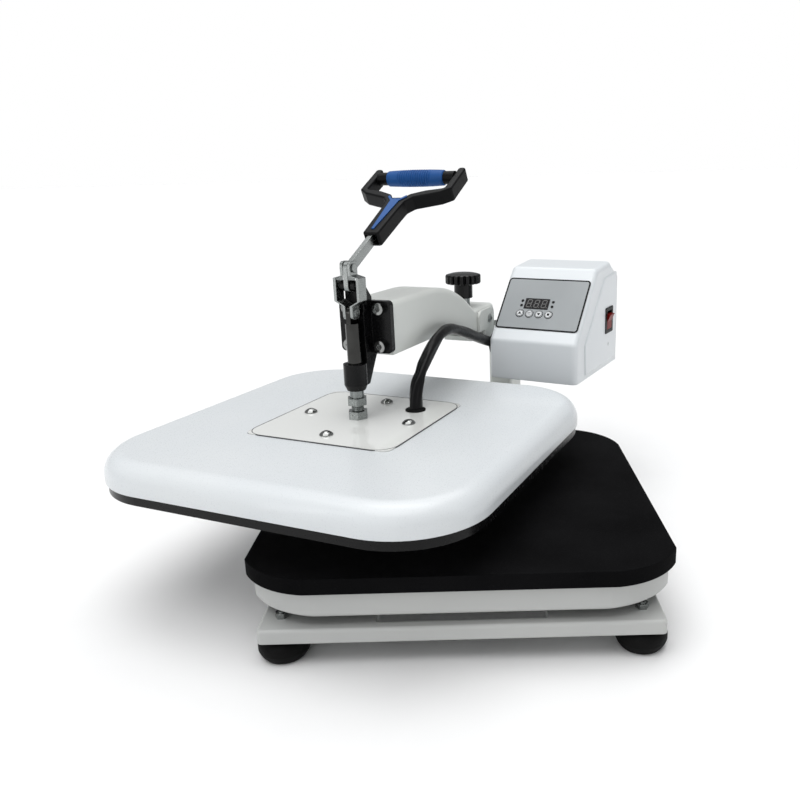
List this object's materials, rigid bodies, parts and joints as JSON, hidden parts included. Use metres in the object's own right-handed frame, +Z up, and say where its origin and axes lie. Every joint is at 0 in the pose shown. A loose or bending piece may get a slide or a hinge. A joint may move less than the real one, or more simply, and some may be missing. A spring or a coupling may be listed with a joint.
{
  "type": "flat heat press",
  "caption": "Swing-away flat heat press with a square heated platen on a toggle clamp arm, foam-topped lower platen and a digital control box.",
  "frame": {"origin": "middle of the bounding box at floor level", "axes": "+X to the right of the press, +Y from its front to its back, +Z up"},
  "size_m": [0.5677, 0.5956, 0.4112],
  "materials": {
    "enamel_white": "gloss",
    "frame_white": "satin",
    "cast_black": "gloss",
    "zinc_steel": "satin",
    "bright_rod": "polished",
    "foot_rubber": "matt",
    "foam_black": "matt",
    "plastic_black": "satin",
    "grip_blue": "satin",
    "inlay_blue": "gloss",
    "plate_aluminium": "satin",
    "bush_bronze": "satin",
    "felt": "matt",
    "sleeve_black": "satin",
    "label_silver": "satin",
    "print_black": "gloss",
    "key_grey": "satin",
    "rocker_red": "gloss",
    "board_green": "satin"
  },
  "bodies": {
    "base": {"base_frame": "frame_white", "rubber_feet": "foot_rubber", "foot_bolts": "zinc_steel", "lower_tray": "frame_white", "foam_pad": "foam_black", "tray_studs": "zinc_steel", "swing_post": "frame_white", "post_backing_plate": "frame_white", "post_bolts": "zinc_steel", "post_nut_and_washers": "zinc_steel"},
    "swing": {"swing_hub": "frame_white", "hub_bushes": "bush_bronze", "saddle": "frame_white", "saddle_screws": "zinc_steel", "tilt_bolt": "zinc_steel", "control_box": "enamel_white", "box_pan": "enamel_white", "box_screws": "zinc_steel", "box_bracket": "frame_white", "mains_gland": "plastic_black", "label_border": "print_black", "label": "label_silver", "display_and_lamps": "print_black", "circuit_board": "board_green", "heater_relay": "plastic_black", "switch_housing": "plastic_black", "cable_bush": "foot_rubber"},
    "arm": {"arm": "enamel_white", "clamp_casting": "cast_black", "clamp_bolts": "zinc_steel", "fixed_pin": "zinc_steel", "trunnion_nut": "zinc_steel"},
    "knob": {"pressure_knob": "plastic_black", "knob_stud": "zinc_steel"},
    "lever": {"lever_bar": "zinc_steel", "lever_pin": "zinc_steel", "handle": "plastic_black", "handle_inlay": "inlay_blue", "grip": "grip_blue", "grip_rod": "zinc_steel", "grip_collars": "plastic_black"},
    "link": {"link": "zinc_steel"},
    "platen": {"plunger_rod": "bright_rod", "rod_nuts": "zinc_steel", "top_plate": "enamel_white", "platen_cover": "enamel_white", "stiffening_plate": "zinc_steel", "heating_plate": "plate_aluminium", "insulation": "felt", "platen_skirt": "cast_black", "dome_screws": "bright_rod", "heating_element": "zinc_steel", "temperature_sensor": "zinc_steel", "cable": "sleeve_black", "cable_grommet": "foot_rubber"},
    "rocker": {"rocker": "rocker_red"},
    "key_1": {"key_up": "key_grey"},
    "key_2": {"key_mode": "key_grey"},
    "key_3": {"key_down": "key_grey"},
    "key_4": {"key_set": "key_grey"}
  },
  "joints": [
    {"name": "swing", "type": "hinge", "parent": "base", "child": "swing", "pos_m": [0.06355, 0.1785, 0.09], "axis": [0, 0, 1], "range_deg": [-65, 24.42]},
    {"name": "arm_tilt", "type": "hinge", "parent": "swing", "child": "arm", "pos_m": [0.075, 0.20372, 0.217], "axis": [-0.9105, 0.4134, 0], "range_deg": [0, 2.1], "deforming": ["cable"]},
    {"name": "knob_turn", "type": "hinge", "parent": "arm", "child": "knob", "pos_m": [0.07004, 0.1928, 0.26], "axis": [0, 0, 1], "range_deg": [0, 90]},
    {"name": "lever_pull", "type": "hinge", "parent": "arm", "child": "lever", "pos_m": [-0.04365, -0.0576, 0.299], "axis": [0.9105, -0.4134, 0], "range_deg": [0, 180]},
    {"name": "link_turn", "type": "hinge", "parent": "lever", "child": "link", "pos_m": [-0.04365, -0.0576, 0.3166], "axis": [0.9105, -0.4134, 0], "range_deg": [-180, 0]},
    {"name": "platen_slide", "type": "slide", "parent": "arm", "child": "platen", "axis": [0, 0, -1], "range_m": [0, 0.0353], "deforming": ["cable"]},
    {"name": "rocker_press", "type": "hinge", "parent": "swing", "child": "rocker", "pos_m": [0.26113, 0.20979, 0.2075], "axis": [-0.4729, -0.8811, 0], "range_deg": [0, 24]},
    {"name": "key_1_press", "type": "slide", "parent": "swing", "child": "key_1", "axis": [0.3564, 0.6641, -0.6573], "range_m": [0, 0.0008], "stiffness_N_per_m": 600, "springref_m": -0.0005},
    {"name": "key_2_press", "type": "slide", "parent": "swing", "child": "key_2", "axis": [0.3564, 0.6641, -0.6573], "range_m": [0, 0.0008], "stiffness_N_per_m": 600, "springref_m": -0.0005},
    {"name": "key_3_press", "type": "slide", "parent": "swing", "child": "key_3", "axis": [0.3564, 0.6641, -0.6573], "range_m": [0, 0.0008], "stiffness_N_per_m": 600, "springref_m": -0.0005},
    {"name": "key_4_press", "type": "slide", "parent": "swing", "child": "key_4", "axis": [0.3564, 0.6641, -0.6573], "range_m": [0, 0.0008], "stiffness_N_per_m": 600, "springref_m": -0.0005}
  ],
  "couplings": [
    {"joint": "link_turn", "follows": "lever_pull", "ratio": -1},
    {"joint": "platen_slide", "follows": "lever_pull", "m_per_rad": 0.011205},
    {"joint": "arm_tilt", "follows": "knob_turn", "ratio": 0.0232}
  ]
}
